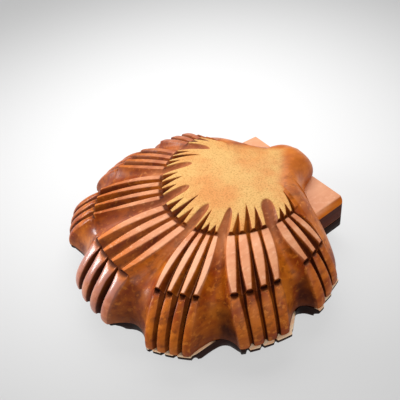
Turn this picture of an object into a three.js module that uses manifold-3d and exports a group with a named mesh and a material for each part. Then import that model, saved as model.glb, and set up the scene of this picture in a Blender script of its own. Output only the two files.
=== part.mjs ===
// Scallop-shell box in carved wood: a hollow tray in the form of the lower valve and a hollow
// lift-off lid in the form of the upper valve. Millimetres, +Z up, front of the shell towards -Y,
// hinge ears towards +Y. The finished part stands on the tray's flat underside, at z = 0.
import * as THREE from 'three';
import { mergeVertices } from 'three/addons/utils/BufferGeometryUtils.js';
import Module from 'manifold-3d';

const wasm = await Module();
wasm.setup();

// ---------------------------------------------------------------- driving dimensions
// Plan positions below are in the shell's own plan: y = 0 at the widest part of the fan.
const TRAY_HEIGHT = 21.5;            // underside to parting line
const PARTING_GAP = 0.4;             // clearance between tray rim and lid rim
const PLAN_SHIFT = [1.6, 12.4];      // brings the middle of the plan box over the origin

const FAN_Y = 25;                    // bearings and radii are taken from (0, FAN_Y)
const CROWN = 49.3;                  // lid height over the fan centre
const INNER_RADIUS = 38;             // where the notches of the cap begin
const LEDGE_RADIUS = 60;             // first ledge, at the edge of the smooth cap
const LONG_END_RADIUS = 93.8;        // second ledge, from the plan's origin
const MEAN_RIM_RADIUS = 116;         // finger ends, roughly, from the plan's origin
const SIDE_BEARING = 95;             // bearing at which the fan's sides are reached
const VALLEY_RECESS = 12.5;          // how far a valley cuts back into the rim
const GROOVE_RECESS = 1.8;           // how far a groove cuts back into the rim

const LEDGE_TOP = 40.2;              // cap edge at the front, above the parting plane
const LEDGE_TOP_RISE = 5.6;          // and how much higher it is at the sides
const LONG_END_TOP = 36.4;           // long finger's end at the front
const LONG_END_FALL = 4.8;           // and how much lower it is at the sides
const STEP = 2.6;                    // drop of each ledge
const STEP_RUN = 0.8;                // how far a ledge's face leans out
const LONG_ARCH = 1.2;               // rise of a long finger between its ends
const SKIRT_POWER = 0.55;            // roundness of the steep band above the rim
const RIM_EDGE = 0.8;                // square edge of the lid at the parting line

const GROOVE_AT_LEDGE = 4.0;         // groove depths below the finger tops
const GROOVE_AT_LONG_START = 1.6;
const GROOVE_AT_LONG_END = 5.0;
const GROOVE_IN_SKIRT = 2.4;
const VALLEY_AT_LEDGE = 4.2;         // valley depths below the finger tops
const VALLEY_AT_LONG_END = 9.6;
const VALLEY_IN_SKIRT = 7.4;

const GROOVE_FLARE = 0.7;            // half width of a groove for each millimetre of its depth
const GROOVE_MIN = 0.5;              // narrowest half width of a groove

// One row for each rib, left to right: bearing of its middle and pitch of its fingers, in degrees,
// at the inner radius, at the first ledge, at the second ledge and at the rim; the radius of its
// first and last finger ends, from the plan's origin; and where its notches start in the cap.
const RIBS = [
  {
    middle: [-104, -90.1, -88.5, -90],
    pitch: [6.5, 5.6, 6.3, 5.9],
    reach: [111, 113.8],
    notches: [43, 48, 53],
  },
  {
    middle: [-76, -62.3, -62, -62.3],
    pitch: [7.5, 6.0, 5.0, 4.7],
    reach: [124.5, 122.5],
    notches: [49, 36, 50],
  },
  {
    middle: [-40, -33.4, -30.8, -33.6],
    pitch: [8.6, 6.9, 4.8, 3.9],
    reach: [126, 122.5],
    notches: [47, 42, 47],
  },
  {
    middle: [0, 0, 0, 0.6],
    pitch: [9.0, 8.3, 6.2, 5.7],
    reach: [120.4, 120.4],
    notches: [46, 35, 46],
  },
  {
    middle: [33.5, 30.3, 31.2, 31.8],
    pitch: [5.8, 5.5, 4.6, 3.7],
    reach: [121.7, 121.7],
    notches: [41, 53, 54],
  },
  {
    middle: [64.5, 60.8, 60.2, 61],
    pitch: [8.8, 7.9, 5.7, 4.5],
    reach: [118, 117],
    notches: [42, 35, 40],
  },
  {
    middle: [102, 90.1, 90.9, 90.3],
    pitch: [7.0, 5.6, 6.1, 5.9],
    reach: [114.4, 110.5],
    notches: [51, 51, 42],
  },
];
const FIRST = RIBS[0];               // the first and last ribs have three fingers and one long
const LAST = RIBS[RIBS.length - 1];  // groove that parts them from the smooth shoulder

// Outline from the last finger round the shoulder to the middle of the beak, right-hand side.
// The first five points are on the rim, the rest are the foot of the beak on the ear's top.
const SHOULDER = [[98.5, 41.5], [93, 47.5], [85.5, 52.5], [74, 57.5], [60.5, 60.5]];
const BEAK_FOOT = [
  [51, 59.5], [42, 62.5], [36, 66.5], [31, 73], [27.5, 81], [23, 89], [14, 94.5], [0, 96],
];

const EAR_FRONT_HALF = 59.5;         // half the span of the ears at their front and back
const EAR_BACK_HALF = 57.5;
const EAR_FRONT = 54;
const EAR_BACK = [86.5, 90];         // back edge at the left ear and at the right one
const EAR_TOP = 20;
const EAR_CHAMFER = 4.2;             // along the top edge of each ear's side
const EAR_CORNER = 3.5;              // rounding of the ears' upright corners
const EAR_CORNER_STEPS = 4;
const EAR_MIDDLE = (EAR_FRONT + EAR_BACK[0]) / 2;

const TRAY_PROUD_LEAST = 0.3;        // tray rim beyond the lid's all round
const TRAY_PROUD_MORE = 2.2;         // and how much more towards the front right
const TRAY_PROUD_BEARING = 60;
const TRAY_RIB_WIDENING = 2.2;       // degrees by which a tray rib is wider on its right flank
const TRAY_GROOVE_TURN = 1.2;        // degrees by which the tray's grooves miss the lid's
const TRAY_GROOVE_RECESS = 2.4;
const TRAY_UNDERCUT = 21;            // how far the tray's side curves in at the underside
const TRAY_FLOOR = 6;
const TRAY_MIDDLE = 5;               // y of the point the tray's side curves in towards
// Profile of the tray's side: depth below its rim and share of the undercut reached there.
const TRAY_PROFILE = [[0, 0], [1.6, 0], [4, 0.09], [8, 0.27], [13, 0.52], [TRAY_HEIGHT, 1]];
// The same for the tray's ears: depth below the rim and inset.
const TRAY_EAR_PROFILE = [[0, 0], [3.5, 0], [6.5, 1.8], [10, 5.5]];

const HOLLOW_RADIUS = 94;            // inside of both halves, from the plan's origin
const HOLLOW_BACK = 47;              // back wall of the inside
const HOLLOW_CORNER = 0.18;          // how softly side and back wall meet
const HOLLOW_SIDES = 56;
const HOLLOW_SHARES = [0.15, 0.32, 0.5, 0.65, 0.78, 0.88, 0.95, 0.985, 1];
const LID_HOLLOW_HEIGHT = 31;        // ceiling over the middle of the fan
const LID_HOLLOW_CROWN = 7;          // extra height under the crown
const LID_HOLLOW_CROWN_RADIUS = 55;
const LID_HOLLOW_POWER = 4;          // squareness of the domed ceiling
const CUT = 5;                       // how far a cutting solid passes beyond what it cuts
// Foot of the tray's inside: height above the floor and share of the plan.
const TRAY_HOLLOW_FOOT = [[6, 1], [2.4, 0.985], [0.5, 0.95], [0, 0.9]];
const LIP_WIDTH = 3;                 // locating lip on the tray
const LIP_HEIGHT = 3;
const LIP_CLEARANCE = 1.2;

const RAD = Math.PI / 180;

// ---------------------------------------------------------------- small helpers
const lerp = (a, b, t) => a + (b - a) * t;
const clamp01 = (t) => Math.min(1, Math.max(0, t));

/** Plan point at a bearing (degrees, 0 = front, + = right) and radius from the fan centre. */
function fromFan(bearing, radius) {
  return [radius * Math.sin(bearing * RAD), FAN_Y - radius * Math.cos(bearing * RAD)];
}

/** Radius from the fan centre at which a bearing meets a circle about the plan's origin. */
function fanRadiusOfCircle(bearing, circleRadius) {
  const along = FAN_Y * Math.cos(bearing * RAD);
  const across = FAN_Y * Math.sin(bearing * RAD);
  return along + Math.sqrt(circleRadius ** 2 - across ** 2);
}

/** 0 at the front of the fan, 1 at its sides. */
function sideways(bearing) {
  return (1 - Math.cos(Math.min(1, Math.abs(bearing) / SIDE_BEARING) * Math.PI)) / 2;
}

const ledgeTop = (bearing) => LEDGE_TOP + LEDGE_TOP_RISE * sideways(bearing);
const longEndTop = (bearing) => LONG_END_TOP - LONG_END_FALL * sideways(bearing);

/** Height of the smooth cap, a shallow dome about the fan centre. */
function capHeight(bearing, radius) {
  return CROWN - (CROWN - ledgeTop(bearing)) * (radius / LEDGE_RADIUS) ** 2;
}

// ---------------------------------------------------------------- columns of the fan
// A column runs from the cap down to the rim. Its kind says whether it follows the edge of a
// finger, the bottom of a groove or the floor of a valley.

/** Number of fingers of a rib: the side ribs lose their outermost one to the shoulder. */
const fingerCount = (rib) => (rib === FIRST || rib === LAST ? 3 : 4);

/** A groove column; offset is its place across the rib, in finger pitches from the middle. */
function grooveColumn(rib, offset, notch) {
  return { kind: 'groove', rib, offset, notch };
}

/** Columns of one rib: both edges of every finger, and the grooves beside them. */
function ribColumns(rib) {
  const columns = [];
  const count = fingerCount(rib);
  const notches = [...rib.notches];
  if (rib === FIRST) {
    columns.push(grooveColumn(rib, -count / 2, notches.shift()));
  }
  for (let i = 0; i < count; i += 1) {
    const offset = i - (count - 1) / 2;
    columns.push({ kind: 'finger', rib, offset, side: -1 });
    columns.push({ kind: 'finger', rib, offset, side: 1 });
    if (i < count - 1 || rib === LAST) {
      columns.push(grooveColumn(rib, offset + 0.5, notches.shift()));
    }
  }
  return columns;
}

/** Depths of grooves and valleys below the finger tops at ledge, long start, long end, skirt. */
const GROOVE_DEPTHS = [GROOVE_AT_LEDGE, GROOVE_AT_LONG_START, GROOVE_AT_LONG_END, GROOVE_IN_SKIRT];
const VALLEY_DEPTHS = [
  VALLEY_AT_LEDGE,
  VALLEY_AT_LEDGE - STEP,
  VALLEY_AT_LONG_END,
  VALLEY_IN_SKIRT,
];

/** Rough distance of the six stations from the fan centre along a bearing. */
function stationRadii(bearing) {
  const longEnd = fanRadiusOfCircle(bearing, LONG_END_RADIUS);
  const rim = fanRadiusOfCircle(bearing, MEAN_RIM_RADIUS);
  return [INNER_RADIUS, LEDGE_RADIUS, LEDGE_RADIUS, longEnd, longEnd, rim];
}

/** Bearings of a column on the cap, above and below the first ledge, and so on to the rim. */
function columnBearings(column) {
  if (column.kind === 'valley') {
    const left = columnBearings(column.left);
    const right = columnBearings(column.right);
    return left.map((bearing, i) => lerp(bearing, right[i], column.across));
  }
  const { middle, pitch } = column.rib;
  const stations = [0, 1, 1, 2, 2, 3];
  const straight = stations.map((k) => middle[k] + column.offset * pitch[k]);
  if (column.kind === 'groove') {
    return straight;
  }
  const radii = stationRadii(straight[3]);
  const depths = [0, ...GROOVE_DEPTHS, GROOVE_IN_SKIRT];
  return straight.map((bearing, i) => {
    const groove = Math.max(GROOVE_MIN, GROOVE_FLARE * depths[i]) / radii[i] / RAD;
    return bearing + column.side * (pitch[stations[i]] / 2 - groove);
  });
}

/** All columns of the ribbed fan, left to right, with the valleys between the ribs. */
function fanColumns() {
  const columns = [];
  RIBS.forEach((rib, index) => {
    const own = ribColumns(rib);
    if (index > 0) {
      const left = columns[columns.length - 1];
      const right = own[0];
      for (const across of [0.2, 0.5, 0.8]) {
        columns.push({ kind: 'valley', left, right, across });
      }
    }
    columns.push(...own);
  });
  return columns;
}

/** Hollow of a valley across its width: 0 at the neighbouring fingers, 1 in the middle. */
const bowl = (column) => Math.sin(column.across * Math.PI) ** 0.75;

/** Depths of a column below the finger tops at ledge, long start, long end and skirt. */
function columnDepths(column) {
  if (column.kind === 'groove') {
    return GROOVE_DEPTHS;
  }
  if (column.kind === 'valley') {
    return VALLEY_DEPTHS.map((depth) => depth * bowl(column));
  }
  return [0, 0, 0, 0];
}

/** Reach of a rib's fingers at a column, from the plan's origin. */
function fingerReach({ rib, offset }) {
  const half = (fingerCount(rib) - 1) / 2;
  return lerp(rib.reach[0], rib.reach[1], clamp01((offset + half) / (2 * half)));
}

/** Distance of a column's end from the plan's origin. */
function rimReach(column) {
  if (column.kind === 'valley') {
    const reach = lerp(fingerReach(column.left), fingerReach(column.right), column.across);
    return reach - VALLEY_RECESS * bowl(column);
  }
  return fingerReach(column) - (column.kind === 'groove' ? GROOVE_RECESS : 0);
}

const CROWN_RADII = [12, 25];
const CAP_RADII = [...CROWN_RADII, INNER_RADIUS, (INNER_RADIUS + LEDGE_RADIUS) / 2];
const LONG_STEPS = [0.33, 0.66];
const SKIRT_STEPS = [0.25, 0.5, 0.72, 0.88, 0.97];

/** Radii of a column on the cap: a groove has its rings where its notch starts and half way out. */
function capRadii(column) {
  if (column.kind !== 'groove') {
    return CAP_RADII;
  }
  return [...CROWN_RADII, column.notch, lerp(column.notch, LEDGE_RADIUS, 0.5)];
}

/** Points of a fan column's top surface from the cap to the parting plane. */
function fanProfile(column) {
  const [inner, ledge, longStart, longEnd, skirt, rim] = columnBearings(column);
  const [atLedge, atLongStart, atLongEnd, inSkirt] = columnDepths(column);
  const points = [];
  const put = (bearing, radius, z) => {
    const [x, y] = fromFan(bearing, radius);
    points.push(new THREE.Vector3(x, y, z));
  };
  const start = column.kind === 'groove' ? column.notch : INNER_RADIUS;
  for (const radius of capRadii(column)) {
    const outwards = clamp01((radius - INNER_RADIUS) / (LEDGE_RADIUS - INNER_RADIUS));
    const bearing = lerp(inner, ledge, outwards);
    const sunk = clamp01((radius - start) / (LEDGE_RADIUS - start));
    put(bearing, radius, capHeight(bearing, radius) - atLedge * sunk);
  }
  put(ledge, LEDGE_RADIUS, ledgeTop(ledge) - atLedge);
  const longRadius = fanRadiusOfCircle(longEnd, LONG_END_RADIUS);
  const startTop = ledgeTop(longStart) - STEP;
  const endTop = longEndTop(longEnd);
  for (const t of [0, ...LONG_STEPS, 1]) {
    const arch = LONG_ARCH * 4 * t * (1 - t);
    const depth = lerp(atLongStart, atLongEnd, t);
    const radius = lerp(LEDGE_RADIUS + STEP_RUN, longRadius, t);
    put(lerp(longStart, longEnd, t), radius, lerp(startTop, endTop, t) + arch - depth);
  }
  const skirtTop = endTop - STEP - inSkirt;
  const rimEnd = fanRadiusOfCircle(rim, rimReach(column));
  const skirtStart = longRadius + STEP_RUN;
  put(skirt, skirtStart, skirtTop);
  for (const s of SKIRT_STEPS) {
    const z = RIM_EDGE + (skirtTop - RIM_EDGE) * (1 - s) ** SKIRT_POWER;
    put(lerp(skirt, rim, s), lerp(skirtStart, rimEnd, s), z);
  }
  put(rim, rimEnd, RIM_EDGE);
  put(rim, rimEnd, 0);
  return points;
}

// ---------------------------------------------------------------- shoulder and beak columns
// Rings of a fan column: cap, ledge, long finger with both its ends, skirt, rim edge.
const RING_COUNT = CAP_RADII.length + 1 + (LONG_STEPS.length + 2) + (1 + SKIRT_STEPS.length) + 2;
const SMOOTH_START_BEARING = 119;    // first smooth column's bearing on the cap, beside the fan
const CAP_EDGE = 2.2;                // fall of the cap from the crown to the inner radius
const BEAK_SINK = 1.5;               // how far the beak's foot goes into the ears
const BEAK_FLARE = 0.6;              // concave sweep of the beak's flanks, 0 = none
const SHOULDER_CURVE = [1.7, 0.72];  // powers of the rounded profile beside the fan
const FLANK_CURVE = [1.55, 0.72];    // on the beak's flanks
const BEAK_CURVE = [2, 0.5];         // and at the end of the beak

/** Plain column from the cap to a point of the side outline, with the same number of rings. */
function smoothProfile(target, index, count, side) {
  const onRim = index < SHOULDER.length;
  const bearing = lerp(SMOOTH_START_BEARING, 180, index / (count - 1));
  const foot = onRim ? RIM_EDGE : EAR_TOP - BEAK_SINK;
  const start = fromFan(bearing, INNER_RADIUS);
  const startZ = CROWN - CAP_EDGE;
  const shoulder = clamp01(index / (SHOULDER.length - 1));
  const beak = clamp01((index - SHOULDER.length + 1) / BEAK_FOOT.length);
  const flare = Math.sin(beak * Math.PI) * BEAK_FLARE;
  const [power, root] = SHOULDER_CURVE.map((value, k) => (
    lerp(value, lerp(FLANK_CURVE[k], BEAK_CURVE[k], beak), shoulder)
  ));
  const points = [];
  for (const radius of CAP_RADII.slice(0, 3)) {
    const [x, y] = fromFan(bearing, radius);
    points.push(new THREE.Vector3(side * x, y, CROWN - CAP_EDGE * (radius / INNER_RADIUS) ** 2));
  }
  const rest = RING_COUNT - points.length - 2;
  for (let i = 1; i <= rest; i += 1) {
    const f = Math.sin((i / rest) * Math.PI / 2);
    const round = Math.max(0, 1 - f ** power) ** root;
    const swept = (1 + Math.cos(f * Math.PI)) / 2;
    const z = foot + (startZ - foot) * lerp(round, swept, flare);
    const x = side * lerp(start[0], target[0], f);
    points.push(new THREE.Vector3(x, lerp(start[1], target[1], f), z));
  }
  const end = points[points.length - 1];
  points.push(new THREE.Vector3(end.x, end.y, foot));
  points.push(new THREE.Vector3(end.x, end.y, 0));
  return points;
}

/** Side outlines from the last rib to the back of the beak; the middle column is shared. */
function smoothColumns(side) {
  const outline = [...SHOULDER, ...BEAK_FOOT];
  return outline.map((target, index) => smoothProfile(target, index, outline.length, side));
}

// ---------------------------------------------------------------- solids
/** Closed geometry from stacked rings of equal length; both ends are closed to a middle point. */
function ringSolid(rings, topPoint, bottomPoint) {
  const count = rings[0].length;
  const positions = [];
  for (const ring of rings) {
    for (const p of ring) {
      positions.push(p.x, p.y, p.z);
    }
  }
  const top = positions.length / 3;
  positions.push(topPoint.x, topPoint.y, topPoint.z);
  const bottom = top + 1;
  positions.push(bottomPoint.x, bottomPoint.y, bottomPoint.z);
  const index = [];
  const at = (ring, i) => ring * count + (i % count);
  for (let i = 0; i < count; i += 1) {
    index.push(top, at(0, i), at(0, i + 1));
    index.push(bottom, at(rings.length - 1, i + 1), at(rings.length - 1, i));
    for (let r = 0; r + 1 < rings.length; r += 1) {
      index.push(at(r, i), at(r + 1, i), at(r + 1, i + 1));
      index.push(at(r, i), at(r + 1, i + 1), at(r, i + 1));
    }
  }
  const geometry = new THREE.BufferGeometry();
  geometry.setAttribute('position', new THREE.Float32BufferAttribute(positions, 3));
  geometry.setIndex(index);
  return geometry;
}

/** A closed three.js geometry as a solid that can be joined and cut. */
function toSolid(geometry) {
  const bare = geometry.clone();
  bare.deleteAttribute('normal');
  bare.deleteAttribute('uv');
  const merged = mergeVertices(bare, 1e-4);
  const mesh = new wasm.Mesh({
    numProp: 3,
    vertProperties: new Float32Array(merged.attributes.position.array),
    triVerts: new Uint32Array(merged.index.array),
  });
  return new wasm.Manifold(mesh);
}

/** A solid back as three.js geometry. */
function toGeometry(solid) {
  const mesh = solid.getMesh();
  const geometry = new THREE.BufferGeometry();
  geometry.setAttribute('position', new THREE.BufferAttribute(mesh.vertProperties, mesh.numProp));
  geometry.setIndex(new THREE.BufferAttribute(mesh.triVerts, 1));
  return geometry;
}

/** Turns columns into rings, anticlockwise seen from above. */
function columnsToRings(columns) {
  return columns[0].map((_, ring) => columns.map((column) => column[ring]));
}

/** All columns of the lid's outer surface, anticlockwise from the middle of the beak's left. */
function lidColumns() {
  const right = smoothColumns(1);
  const left = smoothColumns(-1);
  left.pop();
  const fan = fanColumns().map(fanProfile);
  return [...fan, ...right, ...left.reverse()];
}

/** Plan of the two ears and the bar between them; the insets narrow its sides and its back. */
function earPlan(sideInset, backInset, z) {
  const front = EAR_FRONT_HALF - sideInset;
  const points = [new THREE.Vector3(-front, EAR_FRONT, z), new THREE.Vector3(front, EAR_FRONT, z)];
  for (const side of [1, -1]) {
    for (let i = 0; i <= EAR_CORNER_STEPS; i += 1) {
      const turn = (i / EAR_CORNER_STEPS + (side > 0 ? 0 : 1)) * (Math.PI / 2);
      const x = side * (EAR_BACK_HALF - sideInset - EAR_CORNER) + EAR_CORNER * Math.cos(turn);
      const back = EAR_BACK[side > 0 ? 1 : 0] - backInset;
      const y = back - EAR_CORNER + EAR_CORNER * Math.sin(turn);
      points.push(new THREE.Vector3(x, y, z));
    }
  }
  return points;
}

/** Solid from rings, closed flat at both ends. */
function stack(rings, middleY) {
  const top = new THREE.Vector3(0, middleY, rings[0][0].z);
  const bottom = new THREE.Vector3(0, middleY, rings[rings.length - 1][0].z);
  return toSolid(ringSolid(rings, top, bottom));
}

/** Plan outline of the inside at a bearing from the fan centre. */
function hollowRadius(bearing, inset) {
  const side = fanRadiusOfCircle(bearing, HOLLOW_RADIUS - inset);
  const backwards = -Math.cos(bearing * RAD);
  if (backwards <= 0.02) {
    return side;
  }
  const back = (HOLLOW_BACK - inset - FAN_Y) / backwards;
  const power = 1 / HOLLOW_CORNER;
  return (side ** -power + back ** -power) ** (-1 / power);
}

/** One ring of the inside, scaled about the fan centre, at the heights of a function. */
function hollowRing(share, inset, height) {
  const ring = [];
  for (let i = 0; i < HOLLOW_SIDES; i += 1) {
    const bearing = ((i + 0.5) / HOLLOW_SIDES) * 360 - 180;
    const radius = share * hollowRadius(bearing, inset);
    const [x, y] = fromFan(bearing, radius);
    ring.push(new THREE.Vector3(x, y, height(radius)));
  }
  return ring;
}

/** Smooth domed hollow under the lid. */
function lidHollow() {
  const dome = (share) => (radius) => {
    const middle = Math.max(0, 1 - (radius / LID_HOLLOW_CROWN_RADIUS) ** 2);
    const side = Math.max(0, 1 - share ** LID_HOLLOW_POWER);
    return LID_HOLLOW_CROWN * middle ** 2 + LID_HOLLOW_HEIGHT * Math.sqrt(side);
  };
  const rings = HOLLOW_SHARES.map((share) => hollowRing(share, 0, dome(share)));
  rings.push(hollowRing(1, 0, () => -CUT));
  const top = new THREE.Vector3(0, FAN_Y, LID_HOLLOW_HEIGHT + LID_HOLLOW_CROWN);
  return toSolid(ringSolid(rings, top, new THREE.Vector3(0, FAN_Y, -CUT)));
}

/** Hollow of the tray: upright sides with a rounded foot. */
function trayHollow() {
  const floor = -PARTING_GAP - TRAY_HEIGHT + TRAY_FLOOR;
  const inset = LIP_WIDTH + LIP_CLEARANCE;
  const rings = TRAY_HOLLOW_FOOT.map(([up, share]) => hollowRing(share, inset, () => floor + up));
  return stack([hollowRing(1, inset, () => LIP_HEIGHT + CUT), ...rings], FAN_Y);
}

/** Low lip that stands inside the lid and keeps it from sliding. */
function trayLip() {
  const top = hollowRing(1, LIP_CLEARANCE, () => LIP_HEIGHT);
  return stack([top, hollowRing(1, LIP_CLEARANCE, () => -PARTING_GAP - CUT)], FAN_Y);
}

// ---------------------------------------------------------------- the two halves
function makeLid() {
  const rings = columnsToRings(lidColumns());
  const crown = new THREE.Vector3(0, FAN_Y, CROWN);
  const shell = toSolid(ringSolid(rings, crown, new THREE.Vector3(0, FAN_Y, 0)));
  const ears = stack([
    earPlan(EAR_CHAMFER, 0, EAR_TOP),
    earPlan(0, 0, EAR_TOP - EAR_CHAMFER),
    earPlan(0, 0, 0),
  ], EAR_MIDDLE);
  return toGeometry(shell.add(ears).subtract(lidHollow()));
}

/** Bearing of a column at the tray's rim: ribs wider on the right, grooves beside the lid's. */
function trayBearing(column) {
  if (column.kind === 'valley') {
    return lerp(trayBearing(column.left), trayBearing(column.right), column.across);
  }
  const { rib, offset, side } = column;
  const rim = columnBearings(column).at(-1);
  if (column.kind === 'finger' && Math.abs(offset + side / 2) === fingerCount(rib) / 2) {
    return side < 0 || rib === LAST ? rim : rim + TRAY_RIB_WIDENING;
  }
  return rib === FIRST || rib === LAST ? rim : rim - TRAY_GROOVE_TURN;
}

/** Point of the tray's rim under a column of the fan. */
function trayRim(column) {
  const bearing = trayBearing(column);
  const turn = clamp01(Math.abs(bearing - TRAY_PROUD_BEARING) / 90) * Math.PI / 2;
  const proud = TRAY_PROUD_LEAST + TRAY_PROUD_MORE * Math.cos(turn) ** 3;
  const recess = column.kind === 'groove' ? TRAY_GROOVE_RECESS - GROOVE_RECESS : 0;
  const flat = column.kind === 'valley' ? 1 - bowl(column) : 1;
  const reach = rimReach(column) + proud * flat - recess;
  const [x, y] = fromFan(bearing, fanRadiusOfCircle(bearing, reach));
  return new THREE.Vector3(x, y, 0);
}

/** Tray rings: ribbed and grooved like the lid, curving in under the shell. */
function makeTray() {
  const ring = ([x, y]) => new THREE.Vector3(x, Math.min(y, EAR_BACK[0] - EAR_CORNER), 0);
  const right = [...SHOULDER, ...BEAK_FOOT].map(ring);
  const left = right.slice(0, -1).map((p) => new THREE.Vector3(-p.x, p.y, 0)).reverse();
  const outline = [...fanColumns().map(trayRim), ...right, ...left];
  const rings = TRAY_PROFILE.map(([down, curl]) => outline.map((p) => {
    const share = 1 - (TRAY_UNDERCUT * curl) / Math.hypot(p.x, p.y - TRAY_MIDDLE);
    const y = TRAY_MIDDLE + (p.y - TRAY_MIDDLE) * share;
    return new THREE.Vector3(p.x * share, y, -PARTING_GAP - down);
  }));
  const ears = TRAY_EAR_PROFILE.map(([down, inset]) => earPlan(inset, inset, -PARTING_GAP - down));
  const body = stack(rings, TRAY_MIDDLE).add(stack(ears, EAR_MIDDLE)).add(trayLip());
  return toGeometry(body.subtract(trayHollow()));
}

const lidWood = new THREE.MeshStandardMaterial({ color: 0xb5642c, roughness: 0.38, metalness: 0 });
const trayWood = new THREE.MeshStandardMaterial({ color: 0x5a2e16, roughness: 0.45, metalness: 0 });

const lid = new THREE.Mesh(makeLid(), lidWood);
lid.name = 'lid';
const tray = new THREE.Mesh(makeTray(), trayWood);
tray.name = 'tray';

const box = new THREE.Group();
box.add(tray);
box.add(lid);
box.position.set(PLAN_SHIFT[0], PLAN_SHIFT[1], TRAY_HEIGHT + PARTING_GAP);

export default box;
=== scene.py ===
import math
import bmesh
import bpy
from mathutils import Matrix, Vector


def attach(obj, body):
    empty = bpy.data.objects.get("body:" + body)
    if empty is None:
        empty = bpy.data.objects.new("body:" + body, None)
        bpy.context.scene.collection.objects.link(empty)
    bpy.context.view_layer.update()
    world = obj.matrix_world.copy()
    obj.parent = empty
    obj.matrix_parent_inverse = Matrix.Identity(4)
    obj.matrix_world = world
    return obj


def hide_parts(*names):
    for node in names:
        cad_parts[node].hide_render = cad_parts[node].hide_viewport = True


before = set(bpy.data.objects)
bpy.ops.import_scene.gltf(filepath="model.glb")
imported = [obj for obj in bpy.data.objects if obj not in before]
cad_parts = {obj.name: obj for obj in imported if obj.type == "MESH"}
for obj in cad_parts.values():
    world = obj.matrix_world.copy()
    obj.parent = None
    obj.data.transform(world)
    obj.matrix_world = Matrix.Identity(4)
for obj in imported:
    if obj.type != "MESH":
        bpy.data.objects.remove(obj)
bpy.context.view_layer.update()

# ---------------------------------------------------------------- the shell's own plan
# Lengths are in millimetres in the shell's plan, whose origin lies on the parting plane; to_frame
# brings them into the frame. Bearings are in degrees about the fan's centre, 0 at the front and
# growing to the right. Lists of seven go rib by rib, from the left.
MM = 0.001
TRAY_HEIGHT = 21.5
PARTING_GAP = 0.4
PLAN_SHIFT = (1.6, 12.4)

# The fan's centre lies behind the plan's origin. The cap's circles are about the fan's centre, and
# the second ledge and the rim are about the plan's origin.
FAN_Y = 25
CROWN = 49.3
INNER_RADIUS = 38
LEDGE_RADIUS = 60
LONG_END_RADIUS = 93.8
SIDE_BEARING = 95
RIM_EDGE = 0.8

# Finger tops at the first ledge and at the second, and the steps down from them.
LEDGE_TOP = 40.2
LEDGE_TOP_RISE = 5.6
LEFT_BACK_FALL = 2.2
LEFT_BACK = (80, 108)
LONG_END_TOP = 36.4
LONG_END_FALL = 4.8
STEP = 2.6
STEP_RUN = (2.0, 2.2, 2.6, 2.6, 1.5, 0.9, 0.8)
SKIRT_STEP_RUN = 0.8

# Long fingers: their arch, their bow to the side in degrees, how much painted highlight their tops carry
# at each end, and how far their edges are rounded. The last rib's first finger has a belly on its left, in
# degrees.
LONG_ARCH = 1.2
LONG_BOW = (0.3, 0.4, 0.4, 0.4, 0.5, 0.15, 0.6)
LONG_HIGHLIGHT = ((0.45, 0.4), (0.45, 0.25), (0.7, 0.3), (0.95, 0.8), (1, 0.95), (1, 0.95), (1, 0.95))
LAST_BELLY = 1.7
EDGE_ROUND = 0.35

# Fingers of the skirt: how much painted highlight their backs carry, the curve they fall on, how far
# their edges are rounded, and the hollow worn into their heads, with the share of the skirt that it runs.
SKIRT_HIGHLIGHT = (0.1, 0.1, 0.05, 0.5, 0.05, 0.1, 0.1)
SKIRT_POWER = 0.55
SKIRT_ROUND = (0.7, 0.8, 0.8, 0.6, 0.6, 0.6, 0.7)
SCOOP = (1.5, 1.5, 1.2, 0.7, 2.4, 2.4, 2.0)
SCOOP_RUN = 0.15

# Notches in the cap: they start as narrow points and open towards the first ledge, up to a share
# of a finger's pitch. Those beside a valley all start at one radius and open sooner.
NOTCH_DEPTH = 4.0
NOTCH_POINT = 0.25
NOTCH_HALF = 2.9
NOTCH_SHARE = 0.43
VALLEY_NOTCH = 38
VALLEY_NOTCH_OPENING = 0.28

# Grooves between long fingers, at their start and end: depth and half width, how late they open,
# how much the fingers belly into them, the painted shade on their left wall, and how much painted
# highlight lies on the line along their bottom.
LONG_GROOVE_DEPTH = (1.6, 5.6)
LONG_GROOVE_HALF = (
    (1.2, 3.0), (1.4, 3.4), (1.6, 3.7), (1.7, 4.8), (1.4, 3.5), (1.5, 4.0), (1.2, 4.1),
)
LONG_GROOVE_OPENING = (1.5, 1.3, 1.1, 1.1, 2.0, 1.8, 1.3)
LONG_BELLY = (0, 0, 0, 0.5, 0.3, 0.55, 0.4)
LONG_LEFT_WALL = (0.6, 0.6, 0.5, 0.35, 0.62, 0.7, 0.95)
LONG_LINE = (0, 0, 0.1, 0.15, 0.5, 0.5, 0.1)

# Grooves of the skirt: depth, half width at their head and below it, and the left wall's painted shade.
SKIRT_GROOVE_DEPTH = (3.0, 2.9, 3.4, 7.0, 3.2, 3.1, 4.2)
SKIRT_GROOVE_START = (2.2, 2.4, 2.7, 1.3, 2.4, 2.7, 2.7)
SKIRT_GROOVE_HALF = (1.6, 1.6, 1.7, 3.1, 1.7, 1.75, 2.1)
SKIRT_LEFT_WALL = (0.66, 0.66, 0.66, 0.95, 0.75, 0.75, 0.95)

# Valleys between ribs: depth at the two ledges and what is added below the second, how far they
# cut into the rim, and how much painted highlight their upper part carries. Painted shade lies in the
# valley after each rib: all over it, and on its far side.
VALLEY_DEPTH = (4.2, 9.8)
VALLEY_SINK = 0.4
VALLEY_RECESS = 12.5
VALLEY_HIGHLIGHT = 0.35
VALLEY_SHADE = ((0.2, 0), (0.1, 0.1), (0.2, 0), (0.3, 0.15), (0.18, 0.5), (0.2, 0.58), (0, 0))

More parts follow.
